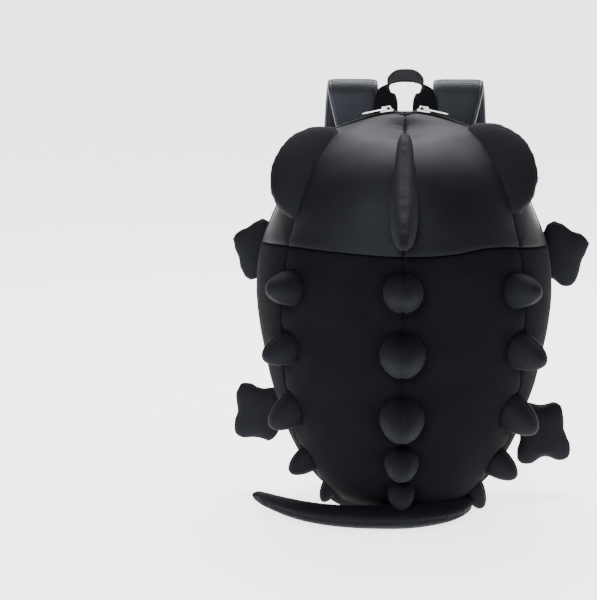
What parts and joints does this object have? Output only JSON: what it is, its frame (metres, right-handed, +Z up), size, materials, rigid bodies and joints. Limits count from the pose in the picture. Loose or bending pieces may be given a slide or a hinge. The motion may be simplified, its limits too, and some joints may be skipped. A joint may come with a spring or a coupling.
{
  "type": "child's animal backpack",
  "caption": "Soft child's backpack shaped like a spiny lizard, with stuffed spikes, ears, fin, feet and tail, a top zip, a handle and padded shoulder straps.",
  "frame": {"origin": "on the floor under the bag, in the base panel's flat underside", "axes": "+Z up along the animal's spine towards its head, -Y towards the animal's back, +Y towards the wearer, +X to the right of a viewer who faces the animal's back"},
  "size_m": [0.3681, 0.2916, 0.4373],
  "materials": {
    "shell_fabric": "satin woven, with a soft sheen",
    "plush_fabric": "matte brushed",
    "mesh_fabric": "matte spacer mesh",
    "webbing": "ribbed woven",
    "zip_tape": "fine woven",
    "zip_metal": "bright cast",
    "black_plastic": "moulded satin",
    "eye_patch": "flat felt"
  },
  "bodies": {
    "bag": {"back_panel": "mesh_fabric", "base_panel": "shell_fabric", "cheek_panel_left": "shell_fabric", "cheek_panel_right": "shell_fabric", "ear_left": "plush_fabric", "ear_right": "plush_fabric", "eye_left": "eye_patch", "eye_right": "eye_patch", "front_foot_left": "plush_fabric", "front_foot_right": "plush_fabric", "handle": "webbing", "head_fin": "plush_fabric", "head_panel_left": "shell_fabric", "head_panel_right": "shell_fabric", "lower_webbing_left": "webbing", "lower_webbing_right": "webbing", "rear_foot_left": "plush_fabric", "rear_foot_right": "plush_fabric", "rear_gusset": "shell_fabric", "shoulder_strap_left": "mesh_fabric", "shoulder_strap_right": "mesh_fabric", "side_panel_left": "shell_fabric", "side_panel_right": "shell_fabric", "side_spike_left_1": "plush_fabric", "side_spike_left_2": "plush_fabric", "side_spike_left_3": "plush_fabric", "side_spike_left_4": "plush_fabric", "side_spike_left_5": "plush_fabric", "side_spike_right_1": "plush_fabric", "side_spike_right_2": "plush_fabric", "side_spike_right_3": "plush_fabric", "side_spike_right_4": "plush_fabric", "side_spike_right_5": "plush_fabric", "spine_panel_left": "shell_fabric", "spine_panel_right": "shell_fabric", "spine_spike_1": "plush_fabric", "spine_spike_2": "plush_fabric", "spine_spike_3": "plush_fabric", "spine_spike_4": "plush_fabric", "spine_spike_5": "plush_fabric", "strap_adjuster_left": "black_plastic", "strap_adjuster_right": "black_plastic", "tail": "plush_fabric", "zip_chain_left": "zip_tape", "zip_chain_right": "zip_tape", "zip_end_panel_left": "shell_fabric", "zip_end_panel_right": "shell_fabric", "zip_slider_left": "zip_metal", "zip_slider_right": "zip_metal", "zip_tape_front": "zip_tape", "zip_tape_rear": "zip_tape"},
    "pull_left": {"zip_pull_left": "zip_metal"},
    "pull_right": {"zip_pull_right": "zip_metal"}
  },
  "joints": [
    {"name": "pull_left_hinge", "type": "hinge", "parent": "bag", "child": "pull_left", "pos_m": [-0.01877, 0.05, 0.402], "axis": [0, 1, 0], "range_deg": [0, 130]},
    {"name": "pull_right_hinge", "type": "hinge", "parent": "bag", "child": "pull_right", "pos_m": [0.01877, 0.05, 0.402], "axis": [0, -1, 0], "range_deg": [0, 130]}
  ]
}
